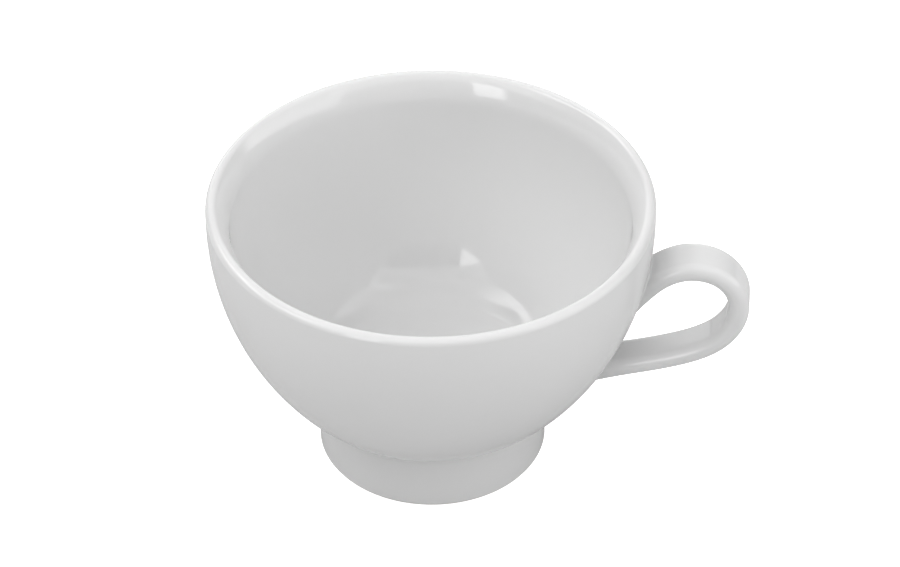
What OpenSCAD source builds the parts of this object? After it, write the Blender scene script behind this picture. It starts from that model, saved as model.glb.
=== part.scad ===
// Porcelain coffee cup: a thrown bowl on a pedestal foot, with a cast strap handle.
// Clay pieces are joined by thin layers of slip, and clear glaze covers all but the foot's standing ring.
// The foot stands on the plane z = 0, the cup's axis is Z, and the handle points along +X.

/* [Cup] */
// Height from the table to the top of the lip
cup_h = 68.5; // [64:0.5:76]
// Diameter over the lip
rim_d = 100; // [94:1:108]
// Thickness of the rounded lip
lip_t = 2.9; // [2.2:0.1:3.6]
// Height of the straight band outside, under the lip
band_h = 2.7; // [1:0.1:6]
// Radius of the flare inside, under the lip
flare_r = 11; // [8:0.5:15]
// Slant of the flare at its top, where the lip's rounding starts
flare_top_a = 40; // [34:1:48]
// Slant of the flare at its foot, where the side starts
flare_low_a = 3.5; // [1:0.5:8]

/* [Bowl] */
// Diameter where the side curve turns into the hip
turn_d = 66.2; // [62:0.2:72]
// Height of that turn above the table
turn_h = 20; // [18.5:0.5:23]
// Wall thickness at that turn
turn_t = 4.1; // [3.2:0.1:4.8]
// Radius of the hip outside
hip_r = 12.4; // [10:0.2:15]
// Radius of the shallow dish under the bowl
dish_r = 90; // [70:5:130]
// Radius of the hip inside
inner_hip_r = 11; // [9:0.5:14]
// Radius of the floor inside
floor_r = 150; // [110:10:200]

/* [Foot] */
// Diameter of the foot
foot_d = 52.4; // [49:0.2:54]
// Thickness of the foot's wall
foot_wall_t = 4; // [3:0.1:6]
// Rounding of the standing ring's two edges
ring_edge_r = 0.5; // [0.2:0.1:1]
// Height of the bare clay wall over the rounded edge, where the glaze was wiped off
bare_h = 0.1; // [0.1:0.1:2]

/* [Handle] */
// Distance from the lip out to the handle's far face
handle_reach = 22; // [19:0.5:26]
// Drop from the lip to the top of the loop's guide line
handle_drop = 11.2; // [9:0.2:14]
// Height over which the loop's bends are spread
handle_h = 34.3; // [31:0.5:36]
// Height of the lower root above the turn of the bowl
lower_root_rise = 3; // [2.4:0.2:6]
// Width of the strap at the upper root
upper_w = 11.3; // [9:0.1:13]
// Width of the strap from the outer bend to the lower root
lower_w = 9.6; // [8:0.1:12]
// Thickness of the strap at the upper root
upper_t = 4.4; // [3.6:0.1:5.2]
// Thickness of the strap at the outer bend
bend_t = 4.8; // [4:0.1:5.6]
// Thickness of the strap at the lower root
lower_t = 4.1; // [3.4:0.1:5]
// Extra thickness where the upper root meets the wall
upper_flare = 0.7; // [0:0.1:1.5]
// Extra thickness where the lower root meets the wall
lower_flare = 2.5; // [0:0.1:3]
// Distance from the wall over which the upper root thins out
upper_flare_len = 5; // [3:0.5:7]
// Distance from the wall over which the lower root thins out
lower_flare_len = 9.5; // [6:0.5:12]

/* [Slip and glaze] */
// Thickness of the slip layer in each joint
slip_t = 0.6; // [0.5:0.05:1]
// Thickness of the glaze
glaze_t = 0.3; // [0.2:0.05:0.4]

/* [Hidden] */
$fn = 96;
// How far a cutting shape runs past what it cuts, and how far the handle's guide line starts inside the wall
overrun = 2;
root_bury = 3;
rim_r = rim_d / 2;
foot_r = foot_d / 2;
recess_r = foot_r - foot_wall_t;
lip_r = lip_t / 2;
lip_z = cup_h - lip_r;
band_z = lip_z - band_h;
// Straight steps in each arc of the bowl's outline and of the small roundings
dish_steps = 6;
hip_steps = 6;
side_steps = 12;
round_steps = 6;
// The slip layer lies half under and half over the level of the bowl's glazed surface
slip_top = slip_t - glaze_t;
// Height at which the foot's glaze starts
foot_glaze_z = ring_edge_r + bare_h;

// Rings along the handle, points round its section, and how far its ends are rounded
handle_rings = 44;
section_points = 20;
round_share = 0.92;
// The loop's guide line is a smooth curve drawn towards seven corners.
// The first and last lie inside the wall, so only the corners between them use an outward share of the reach.
// The last two keep their place over the lower root, and the others hang from the top of the loop.
out_shares = [0, -0.015, 0.49, 0.96, 0.83, 0.23, 0];
height_shares = [-0.475, -0.14, 0, -0.25, -0.68, 0.15, 0];
knot_shares = [0, 0, 0, 0, 0.25, 0.5, 0.75, 1, 1, 1, 1];
// Part of the guide line that each root's slip joint is cut from
root_share = 0.3;
// Small step along the guide line that gives its direction
step_share = 0.002;

clay = [0.9, 0.89, 0.87];
slip = [0.86, 0.85, 0.83];
glaze = [0.96, 0.96, 0.96];

// Direction at an angle measured from straight down, turning outwards
function toward(angle) = [sin(angle), -cos(angle)];

// Bowl outline, as three arcs that touch: the dish, the hip and the side.
// Each arc is [centre, radius, first angle, last angle], with angles measured from straight down.
function bowl_arcs(top, top_a, turn, small_r, base_r) =
    let (
        chord = turn - top,
        side_r = -(chord * chord) / (2 * chord * toward(top_a)),
        side_c = top - side_r * toward(top_a),
        turn_a = asin((turn.x - side_c.x) / side_r),
        hip_c = turn - small_r * toward(turn_a),
        base_a = asin(hip_c.x / (base_r - small_r)),
        base_c = [0, hip_c.y + (base_r - small_r) * cos(base_a)]
    )
    [[base_c, base_r, 0, base_a], [hip_c, small_r, base_a, turn_a], [side_c, side_r, turn_a, top_a]];

outer_turn = [turn_d / 2, turn_h];
outer_arcs = bowl_arcs([rim_r, band_z], 90, outer_turn, hip_r, dish_r);

// The flare inside curves the other way, round a centre on the clay's side, so its radius counts as negative
lip_c = [rim_r - lip_r, lip_z];
flare_c = lip_c + (flare_r - lip_r) * toward(90 - flare_top_a);
flare_arc = [flare_c, -flare_r, 90 - flare_low_a, 90 - flare_top_a];
inner_turn = outer_turn - turn_t * toward(outer_arcs[2][2]);
inner_arcs = bowl_arcs(on_arc(flare_arc, flare_arc[2], 0), flare_arc[2], inner_turn, inner_hip_r, floor_r);

// Point on an arc that is grown outwards by a given amount
function on_arc(arc, angle, grow) = arc[0] + (arc[1] + grow) * toward(angle);

function arc_points(arc, grow, steps) =
    [for (i = [1 : steps]) on_arc(arc, arc[2] + (arc[3] - arc[2]) * i / steps, grow)];

// Outline from the axis up to the top of the side
function bowl_line(arcs, grow) = concat(
    [on_arc(arcs[0], 0, grow)],
    arc_points(arcs[0], grow, dish_steps),
    arc_points(arcs[1], grow, hip_steps),
    arc_points(arcs[2], grow, side_steps)
);

// Outline of the inside, from the axis to the last step under the lip's rounding
function inside_line(grow) = concat(
    bowl_line(inner_arcs, grow),
    [for (i = [1 : round_steps - 1])
        on_arc(flare_arc, flare_arc[2] + (flare_arc[3] - flare_arc[2]) * i / round_steps, grow)]
);

// Rounding of the lip, from one angle to another, anticlockwise from the outside
function lip_arc(first, last, grow) =
    [for (i = [0 : round_steps])
        let (a = first + (last - first) * i / round_steps)
        lip_c + (lip_r + grow) * [cos(a), sin(a)]];

function reversed(points) = [for (i = [len(points) - 1 : -1 : 0]) points[i]];

// Radius of the bowl's outside at a height on its side curve
function side_at(z) =
    let (arc = outer_arcs[2], down = arc[0].y - z)
    arc[0].x + sqrt(arc[1] * arc[1] - down * down);

// Filled half outline of the bowl's outside, grown by a given amount and open at the top
module bowl_section(grow) {
    top = cup_h + overrun;
    polygon(concat(bowl_line(outer_arcs, grow), [[rim_r + grow, top], [0, top]]));
}

module bowl_solid(grow) {
    rotate_extrude() bowl_section(grow);
}

// Half section of a layer that follows the bowl's outside between two levels
module bowl_layer(low, high) {
    difference() {
        bowl_section(high);
        bowl_section(low);
    }
}

module bowl() {
    color(clay) rotate_extrude() polygon(concat(
        bowl_line(outer_arcs, -glaze_t),
        lip_arc(0, 180 - flare_top_a, -glaze_t),
        reversed(inside_line(glaze_t))
    ));
}

// Half section of the foot's wall, with both edges of the standing ring rounded
module foot_wall_section() {
    inner = recess_r + glaze_t;
    outer = foot_r - glaze_t;
    polygon(concat(
        [[inner, turn_h]],
        [for (i = [0 : round_steps])
            let (a = 180 + 90 * i / round_steps)
            [inner + ring_edge_r, ring_edge_r] + ring_edge_r * [cos(a), sin(a)]],
        [for (i = [0 : round_steps])
            let (a = 270 + 90 * i / round_steps)
            [outer - ring_edge_r, ring_edge_r] + ring_edge_r * [cos(a), sin(a)]],
        [[outer, turn_h]]
    ));
}

module foot() {
    color(clay) rotate_extrude() difference() {
        foot_wall_section();
        bowl_section(slip_top);
    }
}

module foot_slip_joint() {
    color(slip) rotate_extrude() intersection() {
        bowl_layer(-glaze_t, slip_top);
        foot_wall_section();
    }
}

module inside_glaze() {
    color(glaze) rotate_extrude() polygon(concat(
        inside_line(0),
        lip_arc(180 - flare_top_a, 90, 0),
        lip_arc(90, 180 - flare_top_a, -glaze_t),
        reversed(inside_line(glaze_t))
    ));
}

// The bowl's outer glaze starts at the foot and stops round each root of the handle
module outside_glaze() {
    color(glaze) difference() {
        rotate_extrude() difference() {
            polygon(concat(
                bowl_line(outer_arcs, 0),
                lip_arc(0, 90, 0),
                lip_arc(90, 0, -glaze_t),
                reversed(bowl_line(outer_arcs, -glaze_t))
            ));
            square([foot_r - glaze_t, turn_h]);
        }
        handle_part(0, root_share, glaze_t);
        handle_part(1 - root_share, 1, glaze_t);
    }
}

module foot_glaze() {
    color(glaze) rotate_extrude() difference() {
        translate([foot_r - glaze_t, foot_glaze_z]) square([glaze_t, turn_h - foot_glaze_z]);
        bowl_section(0);
    }
}

// Glaze inside the foot: a lining on its wall and a skin under the bowl
module recess_glaze() {
    color(glaze) rotate_extrude() {
        difference() {
            translate([recess_r, foot_glaze_z]) square([glaze_t, turn_h - foot_glaze_z]);
            bowl_section(0);
        }
        intersection() {
            bowl_layer(-glaze_t, 0);
            square([recess_r + glaze_t, turn_h]);
        }
    }
}

// Corners that the handle's guide line is drawn towards, as [out, up]
function guide_corner(i) =
    let (
        last = len(out_shares) - 1,
        level = i < last - 1 ? cup_h - handle_drop : turn_h + lower_root_rise,
        z = level + height_shares[i] * handle_h
    )
    i == 0 || i == last ? [side_at(z) - root_bury, z] : [rim_r + out_shares[i] * handle_reach, z];
corners = [for (i = [0 : len(out_shares) - 1]) guide_corner(i)];

// Pull of one corner at a place along the guide line, as a cubic spline weight
function ratio(top, bottom) = bottom == 0 ? 0 : top / bottom;
function pull(i, order, u) = order == 0
    ? (knot_shares[i] <= u && u < knot_shares[i + 1] ? 1 : 0)
    : ratio((u - knot_shares[i]) * pull(i, order - 1, u), knot_shares[i + order] - knot_shares[i])
        + ratio((knot_shares[i + order + 1] - u) * pull(i + 1, order - 1, u),
            knot_shares[i + order + 1] - knot_shares[i + 1]);

function total(values, i = 0) = i == len(values) - 1 ? values[i] : values[i] + total(values, i + 1);

// Place on the guide line, from 0 at the upper root to 1 at the lower root
function guide(u) =
    let (v = min(max(u, 0), 1 - step_share * step_share))
    total([for (i = [0 : len(corners) - 1]) corners[i] * pull(i, 3, v)]);

function blend(first, middle, last, u) =
    u < 0.5 ? first + (middle - first) * 2 * u : middle + (last - middle) * (2 * u - 1);

// Extra thickness at a root, which fades with distance from the wall
function flare(amount, reach, gap) = amount * pow(1 - min(max(gap / reach, 0), 1), 2);

// One ring of the handle's surface, set in from the glazed surface by a given amount
function ring(u, inset) =
    let (
        p = guide(u),
        ahead = guide(u + step_share) - guide(u - step_share),
        along = ahead / norm(ahead),
        outward = [-along.y, along.x],
        gap = p.x - side_at(p.y),
        thick = blend(upper_t, bend_t, lower_t, u)
            + (u < 0.5 ? flare(upper_flare, upper_flare_len, gap) : flare(lower_flare, lower_flare_len, gap)),
        wide = blend(upper_w, lower_w, lower_w, u),
        edge_r = thick / 2 * round_share
    )
    [for (i = [0 : section_points - 1])
        let (
            a = 360 * (i + 0.5) / section_points,
            side = sign(cos(a)) * (wide / 2 - edge_r) + (edge_r - inset) * cos(a),
            rise = sign(sin(a)) * (thick / 2 - edge_r) + (edge_r - inset) * sin(a),
            q = p + rise * outward
        )
        [q.x, -side, q.y]];

function ring_places(from, to) =
    let (count = round(handle_rings * (to - from)))
    [for (k = [0 : count]) from + (to - from) * k / count];

// Triangles between ring number k and the next, where first is the number of the first point of the wall
function band_faces(first, k, flip) =
    [for (i = [0 : section_points - 1])
        let (
            j = (i + 1) % section_points,
            a = first + k * section_points + i,
            b = first + k * section_points + j,
            c = a + section_points,
            d = b + section_points
        )
        each flip ? [[a, b, c], [b, d, c]] : [[a, c, b], [b, c, d]]];

// Closed length of the handle's strap between two places on its guide line
module handle_part(from, to, inset) {
    places = ring_places(from, to);
    last = len(places) - 1;
    points = [for (u = places) each ring(u, inset)];
    start_cap = [for (i = [section_points - 1 : -1 : 0]) i];
    end_cap = [for (i = [0 : section_points - 1]) last * section_points + i];
    walls = [for (k = [0 : last - 1]) each band_faces(0, k, true)];
    polyhedron(points, concat([start_cap], walls, [end_cap]), convexity = 6);
}

// Hollow sleeve of glaze round the whole strap
module handle_sleeve() {
    places = ring_places(0, 1);
    last = len(places) - 1;
    count = len(places) * section_points;
    points = concat([for (u = places) each ring(u, 0)], [for (u = places) each ring(u, glaze_t)]);
    walls = [for (k = [0 : last - 1]) each concat(band_faces(0, k, true), band_faces(count, k, false))];
    caps = [for (i = [0 : section_points - 1])
        let (
            j = (i + 1) % section_points,
            a = last * section_points + i,
            b = last * section_points + j
        )
        each [[j, i, count + i, count + j], [a, b, count + b, count + a]]];
    polyhedron(points, concat(walls, caps), convexity = 8);
}

module handle() {
    color(clay) difference() {
        handle_part(0, 1, glaze_t);
        bowl_solid(slip_top);
    }
}

// Slip between the bowl's wall and one root of the handle
module root_slip(from, to) {
    color(slip) intersection() {
        rotate_extrude() bowl_layer(-glaze_t, slip_top);
        handle_part(from, to, glaze_t);
    }
}

module upper_slip_joint() {
    root_slip(0, root_share);
}

module lower_slip_joint() {
    root_slip(1 - root_share, 1);
}

module handle_glaze() {
    color(glaze) difference() {
        handle_sleeve();
        bowl_solid(0);
    }
}

bowl();
foot();
handle();
foot_slip_joint();
upper_slip_joint();
lower_slip_joint();
inside_glaze();
outside_glaze();
foot_glaze();
recess_glaze();
handle_glaze();
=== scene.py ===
import math

import bmesh
import bpy
from mathutils import Matrix, Vector


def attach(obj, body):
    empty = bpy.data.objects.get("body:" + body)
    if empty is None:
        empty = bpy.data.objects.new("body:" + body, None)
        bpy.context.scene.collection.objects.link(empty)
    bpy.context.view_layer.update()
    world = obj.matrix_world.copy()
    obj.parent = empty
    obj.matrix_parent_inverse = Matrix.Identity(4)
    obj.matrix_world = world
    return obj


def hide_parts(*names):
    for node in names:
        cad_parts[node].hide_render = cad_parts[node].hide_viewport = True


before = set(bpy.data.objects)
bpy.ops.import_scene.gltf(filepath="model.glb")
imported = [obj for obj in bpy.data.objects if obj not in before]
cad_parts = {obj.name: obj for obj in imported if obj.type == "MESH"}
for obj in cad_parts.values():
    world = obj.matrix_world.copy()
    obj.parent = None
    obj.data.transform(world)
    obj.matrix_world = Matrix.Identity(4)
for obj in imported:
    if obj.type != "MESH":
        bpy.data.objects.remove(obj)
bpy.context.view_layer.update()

# Bowl, handle and slip joints
# The clay is porcelain: a thrown bowl, a cast strap, and slip that stuck the pieces together.
# All of it lies under glaze, so these CAD solids stay as they are and get their fired clay.


class Wire:
    """A shader socket that takes part in sums and products, and from which further nodes are hung."""

    def __init__(self, tree, socket=None):
        self.tree = tree
        self.socket = socket

    def node(self, kind, settings=None, inputs=None, out=0):
        made = self.tree.nodes.new(kind)
        for name, value in (settings or {}).items():
            setattr(made, name, value)
        for name, value in (inputs or {}).items():
            if isinstance(value, Wire):
                self.tree.links.new(value.socket, made.inputs[name])
            else:
                made.inputs[name].default_value = value
        return Wire(self.tree, made.outputs[out] if made.outputs else None)

    def maths(self, operation, first, second):
        return self.node("ShaderNodeMath", {"operation": operation}, {0: first, 1: second})

    def __add__(self, other):
        return self.maths("ADD", self, other)

    def __sub__(self, other):
        return self.maths("SUBTRACT", self, other)

    def __rsub__(self, other):
        return self.maths("SUBTRACT", other, self)

    def __mul__(self, other):
        return self.maths("MULTIPLY", self, other)

    __radd__ = __add__
    __rmul__ = __mul__


def new_finish(name):
    """An empty material, and the wire that its nodes hang from."""
    made = bpy.data.materials.new(name)
    made.use_nodes = True
    made.node_tree.nodes.clear()
    return made, Wire(made.node_tree)


def noise_at(wire, place, scale, detail=2.0):
    return wire.node("ShaderNodeTexNoise", {}, {"Vector": place, "Scale": scale, "Detail": detail})


def mixed(wire, share, low, high):
    """A colour between two others, by a share that changes from place to place."""
    return wire.node("ShaderNodeMix", {"data_type": "RGBA"}, {0: share, 6: low, 7: high}, out=2)


def surfaced(wire, look):
    """Ends a finish in one shader with these values and wires."""
    shader = wire.node("ShaderNodeBsdfPrincipled", {}, look)
    wire.node("ShaderNodeOutputMaterial", {}, {"Surface": shader})


def matt_clay(name, dark, light, grain_scale):
    """Bare fired porcelain: a fine dry grain, a little tone from grog and slip, and no gloss."""
    finish, wire = new_finish(name)
    place = wire.node("ShaderNodeTexCoord", out="Object")
    grain = noise_at(wire, place, grain_scale, 4.0)
    cloud = noise_at(wire, place, 90.0)
    tone = mixed(wire, grain * 0.6 + cloud * 0.4, dark, light)
    bump = wire.node("ShaderNodeBump", {}, {"Strength": 0.5, "Distance": 0.00005, "Height": grain})
    surfaced(wire, {"Base Color": tone, "Roughness": 0.72 + grain * 0.16, "IOR": 1.45, "Normal": bump})
    return finish


porcelain_body = matt_clay(
    "porcelain_body", dark=(0.70, 0.685, 0.66, 1), light=(0.82, 0.81, 0.79, 1), grain_scale=2600.0
)
joining_slip = matt_clay(
    "joining_slip", dark=(0.66, 0.645, 0.62, 1), light=(0.77, 0.76, 0.74, 1), grain_scale=4200.0
)
for clay, nodes in (
    (porcelain_body, ("bowl", "handle")),
    (joining_slip, ("foot_slip_joint", "upper_slip_joint", "lower_slip_joint")),
):
    for node in nodes:
        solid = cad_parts[node]
        solid.data.materials.clear()
        solid.data.materials.append(clay)

# Foot
# The foot is a porcelain ring, turned apart and joined under the bowl with slip.
# Only its standing ring is bare, wiped clean so that it didn't stick in the kiln, and then ground flat.

mm = 0.001
foot_r = 26.2 * mm
recess_r = 22.2 * mm
glaze_t = 0.3 * mm
ring_edge_r = 0.5 * mm
foot_top = 15.6 * mm
arris_steps = 10
turn_steps = 256
weld_d = 0.0005 * mm
sharp_a = math.radians(35)


def from_below(angle):
    """Direction in the XZ plane at an angle from straight down, turning outwards."""
    return Vector((math.sin(angle), 0, -math.cos(angle)))


def ruled(bm, point, x, z):
    """Draws the outline on in a straight line and returns its new end."""
    end = bmesh.ops.extrude_vert_indiv(bm, verts=[point])["verts"][0]
    end.co = (x, 0, z)
    return end


def compass(bm, point, centre, angle, steps):
    """Draws the outline on in an arc round a centre and returns its new end."""
    swung = bmesh.ops.spin(bm, geom=[point], cent=centre, axis=(0, -1, 0), angle=angle, steps=steps)
    return swung["geom_last"][0]


def welded(bm):
    """Closes the seams of the mesh and turns every face outwards."""
    bmesh.ops.remove_doubles(bm, verts=bm.verts, dist=weld_d)
    bmesh.ops.recalc_face_normals(bm, faces=bm.faces)


def turned(bm):
    """Turns the outline round the cup's axis, as a wheel does."""
    outline = bm.verts[:] + bm.edges[:]
    axle = {"cent": (0, 0, 0), "axis": (0, 0, 1), "angle": math.tau}
    bmesh.ops.spin(bm, geom=outline, steps=turn_steps, use_merge=True, **axle)
    welded(bm)


def put_down(bm, name, finish):
    """Ends the mesh work in an object of one material."""
    mesh = bpy.data.meshes.new(name)
    bm.to_mesh(mesh)
    bm.free()
    mesh.materials.append(finish)
    piece = bpy.data.objects.new(name, mesh)
    bpy.context.scene.collection.objects.link(piece)
    return piece


def finished(bm, name, finish):
    """A piece of the cup, with smooth faces and sharp arrises, that rides on the cup."""
    for face in bm.faces:
        face.smooth = True
    for edge in bm.edges:
        if edge.is_manifold and edge.calc_face_angle() > sharp_a:
            edge.smooth = False
    piece = put_down(bm, name, finish)
    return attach(piece, "root")


bm = bmesh.new()
inner, outer = recess_r + glaze_t, foot_r - glaze_t
first = bm.verts.new((inner, 0, foot_top))
point = ruled(bm, first, inner, ring_edge_r)
point = compass(bm, point, (inner + ring_edge_r, 0, ring_edge_r), math.pi / 2, arris_steps)
point = ruled(bm, point, outer - ring_edge_r, 0)
point = compass(bm, point, (outer - ring_edge_r, 0, ring_edge_r), math.pi / 2, arris_steps)
point = ruled(bm, point, outer, foot_top)
bm.edges.new((point, first))
turned(bm)

ground_ring, wire = new_finish("ground_ring")
place = wire.node("ShaderNodeTexCoord", out="Object")
grain = noise_at(wire, place, 3400.0, 4.0)
stain = noise_at(wire, place, 160.0)
scuffs = noise_at(wire, wire.node("ShaderNodeMapping", {}, {"Vector": place, "Scale": (1, 6, 1)}), 900.0)
tone = mixed(wire, grain * 0.5 + stain * 0.5, (0.62, 0.60, 0.57, 1), (0.80, 0.79, 0.77, 1))
rough = grain + scuffs * 0.5
bump = wire.node("ShaderNodeBump", {}, {"Strength": 0.6, "Distance": 0.00006, "Height": rough})
surfaced(wire, {"Base Color": tone, "Roughness": 0.62 + scuffs * 0.2, "IOR": 1.45, "Normal": bump})

foot = finished(bm, "foot_ring", ground_ring)
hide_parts("foot")

# Inside glaze
# One coat of clear glaze, poured in and out before firing, smooth from the floor to the top of the lip.
# It follows the thrown wall: an almost flat floor, a hip, a long side, and a flare under the lip.

cup_h = 68.5 * mm
rim_r = 50 * mm
lip_r = 1.45 * mm
band_h = 2.7 * mm
wall_t = 4.1 * mm
flare_r = 11 * mm
flare_top_a = math.radians(90 - 40)
flare_low_a = math.radians(90 - 3.5)
lip_c = Vector((rim_r - lip_r, 0, cup_h - lip_r))
band_z = lip_c.z - band_h
outer_turn = Vector((33.1 * mm, 0, 20 * mm))
outer_hip_r, dish_r = 12.4 * mm, 90 * mm
inner_hip_r, floor_r = 11 * mm, 150 * mm
lip_seam_degrees = 0.4


def touching_arcs(top, top_a, turn, small_r, base_r):
    """Centre, radius and end angles of the base, hip and side arcs. Straight down is 0."""
    chord = turn - top
    side_r = -chord.length_squared / (2 * chord.dot(from_below(top_a)))
    side_c = top - side_r * from_below(top_a)
    turn_a = math.asin((turn.x - side_c.x) / side_r)
    hip_c = turn - small_r * from_below(turn_a)
    base_a = math.asin(hip_c.x / (base_r - small_r))
    base_c = Vector((0, 0, hip_c.z + (base_r - small_r) * math.cos(base_a)))
    return [
        (base_c, base_r, 0, base_a),
        (hip_c, small_r, base_a, turn_a),
        (side_c, side_r, turn_a, top_a),
    ]


outer_arcs = touching_arcs(Vector((rim_r, 0, band_z)), math.pi / 2, outer_turn, outer_hip_r, dish_r)
inner_turn = outer_turn - wall_t * from_below(outer_arcs[2][2])
flare_c = lip_c + (flare_r - lip_r) * from_below(flare_top_a)
flare_low = flare_c - flare_r * from_below(flare_low_a)
inner_arcs = touching_arcs(flare_low, flare_low_a, inner_turn, inner_hip_r, floor_r)
inner_arcs.append((flare_c, -flare_r, flare_low_a, flare_top_a))


def swept(bm, point, arcs, steps, way=1):
    """Draws the outline on along touching arcs, up the wall, or down it where way is -1."""
    for (centre, _, start, stop), count in zip(arcs[::way], steps):
        point = compass(bm, point, centre, way * (stop - start), count)
    return point


def glaze_finish(name, tone=0.70, gloss=0.035, ripple=1.0, pinholes=0.5):
    """Clear glaze on white porcelain: faint orange peel, soft clouds and a few pinholes."""
    finish, wire = new_finish(name)
    place = wire.node("ShaderNodeTexCoord", out="Object")
    cloud = noise_at(wire, place, 42.0)
    peel = noise_at(wire, place, 520.0, 1.0)
    swell = noise_at(wire, place, 75.0, 0.0)
    cells = wire.node("ShaderNodeTexVoronoi", {}, {"Vector": place, "Scale": 210.0})
    hole = wire.node(
        "ShaderNodeMapRange",
        {},
        {"Value": cells, "From Min": 0.0, "From Max": 0.035, "To Min": 1.0, "To Max": 0.0},
    )
    which = noise_at(wire, place, 60.0, 0.0)
    few = wire.node("ShaderNodeMapRange", {}, {"Value": which, "From Min": 0.62, "From Max": 0.66})
    hole = hole * few * pinholes
    white = (tone, tone, tone, 1)
    clouded = (tone * 0.972, tone * 0.972, tone * 0.972, 1)
    pitted = (tone * 0.8, tone * 0.79, tone * 0.77, 1)
    colour = mixed(wire, hole, mixed(wire, cloud, clouded, white), pitted)
    height = peel * (0.0012 * ripple) + swell * (0.010 * ripple) - hole * 0.02
    bump = wire.node("ShaderNodeBump", {}, {"Strength": 1.0, "Distance": mm, "Height": height})
    roughness = gloss + cloud * 0.03 + hole * 0.3
    surfaced(wire, {"Base Color": colour, "Roughness": roughness, "IOR": 1.5, "Normal": bump})
    return finish


bm = bmesh.new()
floor_c = inner_arcs[0][0]
point = bm.verts.new(floor_c + floor_r * from_below(0))
point = swept(bm, point, inner_arcs, (24, 30, 44, 24))
point = compass(bm, point, lip_c, math.radians(lip_seam_degrees) - flare_top_a, 30)
point = compass(bm, point, lip_c, math.radians(-lip_seam_degrees), 1)
point = ruled(bm, point, lip_c.x, cup_h - glaze_t)
point = compass(bm, point, lip_c, flare_top_a, 8)
point = swept(bm, point, inner_arcs, (8, 14, 10, 6), -1)
turned(bm)
inside = finished(bm, "inside_coat", glaze_finish("inside_glaze"))
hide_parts("inside_glaze")

# Outside glaze
# The cup was dipped, so the outer coat is as even as the inner one, from the lip down to the foot.
# Under the lip a short straight band stands upright, and below it the side curves in.

bm = bmesh.new()
dish_c, _, _, dish_a = outer_arcs[0]
start_a = math.asin((foot_r - glaze_t) / dish_r)
first = bm.verts.new(dish_c + dish_r * from_below(start_a))
point = compass(bm, first, dish_c, dish_a - start_a, 4)
point = swept(bm, point, outer_arcs[1:], (30, 44))
point = ruled(bm, point, rim_r, lip_c.z)
point = compass(bm, point, lip_c, math.radians(90 - lip_seam_degrees), 44)
point = compass(bm, point, lip_c, math.radians(lip_seam_degrees), 1)
point = ruled(bm, point, lip_c.x, cup_h - glaze_t)
point = compass(bm, point, lip_c, -math.pi / 2, 10)
point = ruled(bm, point, rim_r - glaze_t, band_z)
point = swept(bm, point, outer_arcs[1:], (14, 10), -1)
point = compass(bm, point, dish_c, start_a - dish_a, 2)
bm.edges.new((point, first))
turned(bm)
outside = finished(bm, "outside_coat", glaze_finish("outside_glaze"))
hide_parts("outside_glaze")

# Foot glaze and recess glaze
# The same coat on the foot, but with a darker tone there as painted shade for the bowl's overhang and the
# shaded floor around it. It ends in a small round bead just over the bare standing ring.
# Where it meets the bowl it ran into the corner and filled it, outside and inside, with a soft hollow.

crease_r = 1.3 * mm
recess_crease_r = 1.6 * mm
bead_z = 0.9 * mm
bead_steps, crease_steps = 10, 24


def crease_at(x, radius):
    """Centre of a hollow that touches the bowl from below, and the angle at which it touches."""
    centre = Vector((x, 0, 0))
    centre.z = dish_c.z - math.sqrt((dish_r + radius) ** 2 - centre.x ** 2)
    return centre, math.asin(centre.x / (dish_r + radius))


bm = bmesh.new()
crease_c, touch_a = crease_at(foot_r + crease_r, crease_r)
first = bm.verts.new((foot_r - glaze_t, 0, bead_z - glaze_t))
point = compass(bm, first, (foot_r - glaze_t, 0, bead_z), math.pi / 2, bead_steps)
point = ruled(bm, point, foot_r, crease_c.z)
point = compass(bm, point, crease_c, touch_a - math.pi / 2, crease_steps)
point = ruled(bm, point, foot_r - glaze_t, crease_c.z + crease_r)
bm.edges.new((point, first))
turned(bm)
# The tone of 0.66 against the bowl's 0.70 is painted shade: the foot stands under the bowl, beside its
# shadow on the floor.
foot_glaze = glaze_finish("foot_glaze", tone=0.66, gloss=0.05, ripple=1.2, pinholes=0.8)
foot_coat = finished(bm, "foot_coat", foot_glaze)
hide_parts("foot_glaze")

bm = bmesh.new()
crease_c, touch_a = crease_at(recess_r - recess_crease_r, recess_crease_r)
point = bm.verts.new(dish_c + dish_r * from_below(0))
point = compass(bm, point, dish_c, touch_a, crease_steps)
point = compass(bm, point, crease_c, -math.pi / 2 - touch_a, crease_steps)
point = ruled(bm, point, recess_r, bead_z)
point = compass(bm, point, (recess_r + glaze_t, 0, bead_z), math.pi / 2, bead_steps)
back_r = dish_r - glaze_t
back_a = math.asin((recess_r + glaze_t) / back_r)
back = dish_c + back_r * from_below(back_a)
point = ruled(bm, point, back.x, back.z)
point = compass(bm, point, dish_c, -back_a, crease_steps // 2)
turned(bm)
recess_glaze = glaze_finish("recess_glaze", tone=0.68, gloss=0.07, ripple=1.6, pinholes=1.0)
recess_coat = finished(bm, "recess_coat", recess_glaze)
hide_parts("recess_glaze")

# Handle glaze
# A cast strap with edges sponged nearly full round, bent into a loop and stuck on with slip at two roots.
# The glaze goes all round it and runs into the corners at the wall, so each root ends in a small hollow.

handle_reach = 22 * mm
handle_h = 34.3 * mm
root_bury = 3 * mm
loop_top = cup_h - 11.2 * mm
lower_root = outer_turn.z + 3 * mm
root_hollow_r = 0.7 * mm
hollow_least, hollow_most = 0.35 * mm, 3.2 * mm
hollow_sink = 0.2 * mm
strap_thick = (4.4 * mm, 4.74 * mm, 4.1 * mm)
strap_wide = (11.3 * mm, 9.6 * mm, 9.6 * mm)
edge_round = 0.92
upper_swell, upper_swell_reach = 0.7 * mm, 5 * mm
lower_swell, lower_swell_reach = 2.5 * mm, 9.5 * mm
clear_u = 0.3
heading_u, leaving_share = 0.002, 0.02
side_c, side_r, turn_a, _ = outer_arcs[2]
hip_c = outer_arcs[1][0]


def side_at(z):
    """Radius of the bowl's outside at a height on its side."""
    return side_c.x + math.sqrt(side_r ** 2 - (side_c.z - z) ** 2)


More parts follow.
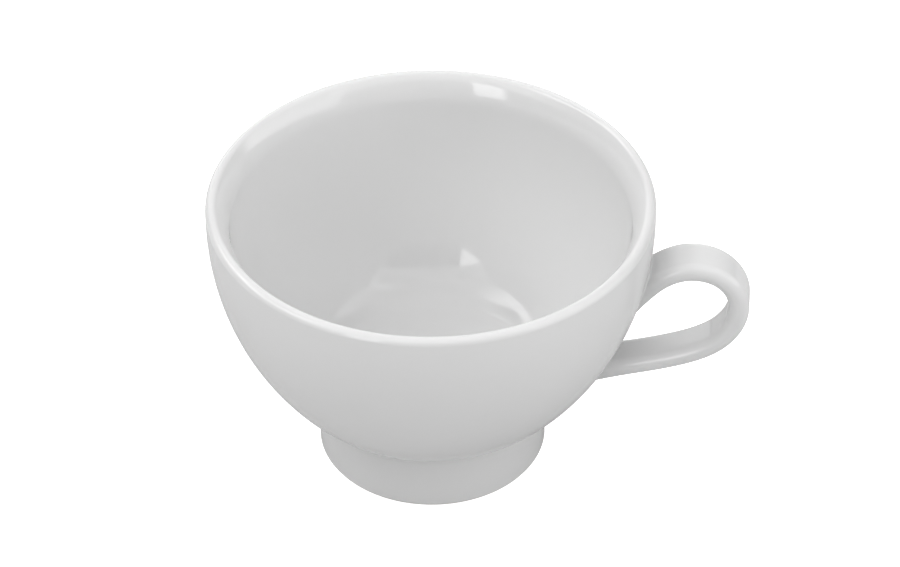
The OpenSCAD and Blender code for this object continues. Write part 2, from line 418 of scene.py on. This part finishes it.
corners = [Vector((rim_r + out * handle_reach, 0, level + up * handle_h)) for out, level, up in (
    (0, loop_top, -0.475),
    (-0.015, loop_top, -0.14),
    (0.49, loop_top, 0),
    (0.96, loop_top, -0.25),
    (0.83, loop_top, -0.68),
    (0.23, lower_root, 0.15),
    (0, lower_root, 0),
)]
for corner in (corners[0], corners[-1]):
    corner.x = side_at(corner.z) - root_bury
knots = [0, 0, 0, 0, 0.25, 0.5, 0.75, 1, 1, 1, 1]


def guide(u):
    """Place on the loop's guide line, a smooth curve drawn towards its corners, from 0 to 1."""
    u = min(max(u, 0), 1)
    span = min(int(4 * u), 3)
    pulled = corners[span : span + 4]
    for order in (1, 2, 3):
        for j in range(3, order - 1, -1):
            low, high = knots[span + j], knots[span + j + 4 - order]
            pulled[j] = pulled[j - 1].lerp(pulled[j], (u - low) / (high - low))
    return pulled[3]


def blend(first, middle, last, u):
    """A size that changes along the loop, from the upper root by way of its middle to the lower root."""
    return first + (middle - first) * 2 * u if u < 0.5 else middle + (last - middle) * (2 * u - 1)


def strap_place(u, side_share, rise_share, angle):
    """Point on the strap's glazed surface and the direction out of it, at one place of its section."""
    p = guide(u)
    along = (guide(u + heading_u) - guide(u - heading_u)).normalized()
    outward = Vector((-along.z, 0, along.x))
    gap = max(p.x - side_at(p.z), 0)
    swell, reach = (upper_swell, upper_swell_reach) if u < 0.5 else (lower_swell, lower_swell_reach)
    thick = blend(*strap_thick, u) + swell * (1 - min(gap / reach, 1)) ** 2
    wide = blend(*strap_wide, u)
    edge_r = thick / 2 * edge_round
    out = Vector((0, -math.cos(angle), 0)) + math.sin(angle) * outward
    sideways = side_share * (wide / 2 - edge_r) * Vector((0, -1, 0))
    flat = sideways + rise_share * (thick / 2 - edge_r) * outward
    return p + flat + edge_r * out, out


def on_wall(place):
    """Nearest point of the bowl's outside, and the direction straight out of the wall there."""
    away = Vector((place.x, place.y, 0)).normalized()
    flat = Vector((place.xy.length, 0, place.z))
    centre, radius = side_c, side_r
    if (flat - side_c).angle(from_below(0)) < turn_a:
        centre, radius = hip_c, outer_hip_r
    straight = (flat - centre).normalized()
    nearest = centre + radius * straight
    return away * nearest.x + Vector((0, 0, nearest.z)), away * straight.x + Vector((0, 0, straight.z))


def off_wall(place):
    """Distance from the bowl's outside, negative inside it."""
    nearest, straight = on_wall(place)
    return (place - nearest).dot(straight)


def halved(near, far, wanted):
    """The place between two others where a rising measure reaches zero."""
    for _ in range(40):
        middle = (near + far) / 2
        near, far = (middle, far) if wanted(middle) < 0 else (near, middle)
    return (near + far) / 2


def root_line(section, buried, free):
    """Where a line of the strap meets the wall, and where its hollow starts and lands on the wall."""
    meet_u = halved(buried, free, lambda u: off_wall(strap_place(u, *section)[0]))
    meet, out = strap_place(meet_u, *section)
    straight = on_wall(meet)[1]
    landing = (out - out.dot(straight) * straight).normalized()
    leave_u = meet_u + (free - buried) * leaving_share
    leaving = (strap_place(leave_u, *section)[0] - meet).normalized()
    opening = leaving.angle(landing)
    length = min(max(root_hollow_r / math.tan(opening / 2), hollow_least), hollow_most)
    start_u = halved(meet_u, free, lambda u: (strap_place(u, *section)[0] - meet).length - length)
    landed, straight = on_wall(meet + length * landing)
    return meet, start_u, landed, straight


edge_steps, flat_steps, loop_steps, hollow_steps = 18, 6, 190, 10
sections = []
for side_share, rise_share, first_angle in ((1, 1, 0), (-1, 1, 90), (-1, -1, 180), (1, -1, 270)):
    for k in range(edge_steps + 1):
        sections.append((side_share, rise_share, math.radians(first_angle + 90 * k / edge_steps)))
    if first_angle in (0, 180):
        for k in range(1, flat_steps):
            flat_share = side_share * (1 - 2 * k / flat_steps)
            sections.append((flat_share, rise_share, math.radians(first_angle + 90)))

bm = bmesh.new()
rows = loop_steps + 2 * hollow_steps + 2
bmesh.ops.create_grid(bm, x_segments=rows, y_segments=len(sections), size=0.5)
roots = [(root_line(section, 0, clear_u), root_line(section, 1, 1 - clear_u)) for section in sections]
for vert in bm.verts:
    row = round((vert.co.x + 0.5) * rows)
    column = round((vert.co.y + 0.5) * len(sections)) % len(sections)
    upper, lower = roots[column]
    from_end = min(row, rows - row)
    if from_end > hollow_steps:
        share = (row - hollow_steps - 1) / loop_steps
        vert.co = strap_place(upper[1] + (lower[1] - upper[1]) * share, *sections[column])[0]
    else:
        meet, start_u, landed, straight = upper if row < rows / 2 else lower
        start = strap_place(start_u, *sections[column])[0]
        t = max(from_end - 1, 0) / hollow_steps
        vert.co = (1 - t) ** 2 * landed + 2 * t * (1 - t) * meet + t * t * start
        if from_end == 0:
            vert.co -= hollow_sink * straight
welded(bm)
handle_coat = finished(bm, "handle_coat", glaze_finish("handle_glaze"))
thickness = handle_coat.modifiers.new("coat thickness", "SOLIDIFY")
thickness.thickness = glaze_t
thickness.offset = -1
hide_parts("handle_glaze")

# Floor
# A wide matt sheet under the cup. It is mid grey, and sends up half of the light on it and a faint glow.
# It glows white to the camera alone, so there it looks white, and the cup's shadow is lost on it.

sheet_half = 4.0

bm = bmesh.new()
bmesh.ops.create_grid(bm, x_segments=1, y_segments=1, size=sheet_half)
white_sheet, wire = new_finish("white_sheet")
place = wire.node("ShaderNodeTexCoord", out="Object")
fibre = noise_at(wire, place, 700.0, 3.0)
tone = mixed(wire, fibre, (0.51, 0.51, 0.51, 1), (0.53, 0.53, 0.53, 1))
seen = wire.node("ShaderNodeLightPath", out="Is Camera Ray")
glow = mixed(wire, seen, (0.05, 0.05, 0.05, 1), (1, 1, 1, 1))
surfaced(wire, {"Base Color": tone, "Roughness": 0.9, "Emission Color": glow, "Emission Strength": 1.0})
sheet = put_down(bm, "white_sheet", white_sheet)

# Camera
# It stands 0.8 m from the cup, 41 degrees up and 6 degrees round from the handle's square view.

camera = bpy.data.objects.new("camera", bpy.data.cameras.new("camera"))
bpy.context.scene.collection.objects.link(camera)
camera.data.sensor_width = 36
camera.data.lens = 136.135
camera.data.clip_start = 0.01
camera.data.clip_end = 50
turn, lift, away = math.radians(6), math.radians(41.2965), 797.495 * mm
heading, tilt, roll = turn - math.radians(0.4017), math.radians(90 - 38.822), math.radians(-0.2064)
camera.location = away * Vector(
    (math.cos(lift) * math.sin(turn), -math.cos(lift) * math.cos(turn), math.sin(lift))
)
camera.rotation_euler = (
    Matrix.Rotation(heading, 3, "Z") @ Matrix.Rotation(tilt, 3, "X") @ Matrix.Rotation(roll, 3, "Z")
).to_euler()
bpy.context.scene.camera = camera

# Light
# A white studio without a bare lamp, written as the brightness of each direction from the cup.
# The camera is in a dim gap under a straight beam, with a softbox at its left, and sees a white backdrop.

world = bpy.data.worlds.new("studio")
bpy.context.scene.world = world
world.use_nodes = True
world.node_tree.nodes.clear()
wire = Wire(world.node_tree)
toward = wire.node("ShaderNodeTexCoord", out="Generated")


def share_along(x, y, z):
    """How far the direction points along another one."""
    pair = {0: toward, 1: (x, y, z)}
    return wire.node("ShaderNodeVectorMath", {"operation": "DOT_PRODUCT"}, pair, out="Value")


def rising(value, edge, width):
    """Zero below an edge and one above it, with a soft change over a width."""
    limits = {"Value": value, "From Min": edge - width / 2, "From Max": edge + width / 2}
    return wire.node("ShaderNodeMapRange", {"interpolation_type": "SMOOTHSTEP"}, limits)


in_degrees = 180 / math.pi
bearing = wire.maths("ARCTAN2", share_along(0, 1, 0), share_along(1, 0, 0)) * in_degrees
height = wire.maths("ARCSINE", share_along(0, 0, 1), 0.0) * in_degrees


def panel(left, right, low, high, soft_left=8, soft_right=8, soft_low=4, soft_high=6):
    """Directions between two bearings from +X and between two heights, in degrees, with soft edges."""
    half = (right - left) / 2
    limits = {0: bearing - (left + half), 1: 180.0, 2: -180.0}
    off = wire.node("ShaderNodeMath", {"operation": "WRAP"}, limits)
    across = rising(off, -half, soft_left) - rising(off, half, soft_right)
    return across * (rising(height, low, soft_low) - rising(height, high, soft_high))


softbox = panel(-124, -107, 3, 60, soft_left=5, soft_right=1, soft_low=2) * 4.5
dim_gap = panel(-107, -37, 3, 60, soft_left=1, soft_right=3, soft_low=2) * 0.2
high_left = panel(-182, -150, 33, 62, soft_left=16, soft_right=36, soft_low=8, soft_high=16) * 3.9
high_front = panel(-150, -32, 20, 62, soft_left=36, soft_right=12, soft_low=2, soft_high=14) * 1.35
under_beam = rising(share_along(0.09, -0.71, -1), 0, 0.02)
light = (
    under_beam * (softbox + dim_gap)
    + (1 - under_beam) * (high_left + high_front)
    + panel(-37, 24, 2, 22, soft_left=3) * 2.4
    + panel(-37, 24, 22, 60, soft_right=12, soft_high=16) * 1.6
    + panel(78, 131, 2, 32) * 1.6
    + panel(78, 131, 32, 47) * 0.6
    + panel(78, 131, 47, 62) * 2.3
    + panel(131, 178, 33, 49) * 3.9
    + panel(24, 78, 2, 62) * 0.2
    + rising(height, 62, 14) * 1.0
)
seen = wire.node("ShaderNodeLightPath", out="Is Camera Ray")
strength = light * (1 - seen) + seen
background = wire.node("ShaderNodeBackground", {}, {"Color": (1, 1, 1, 1), "Strength": strength})
wire.node("ShaderNodeOutputWorld", {}, {"Surface": background})
bpy.context.scene.view_settings.view_transform = "Standard"
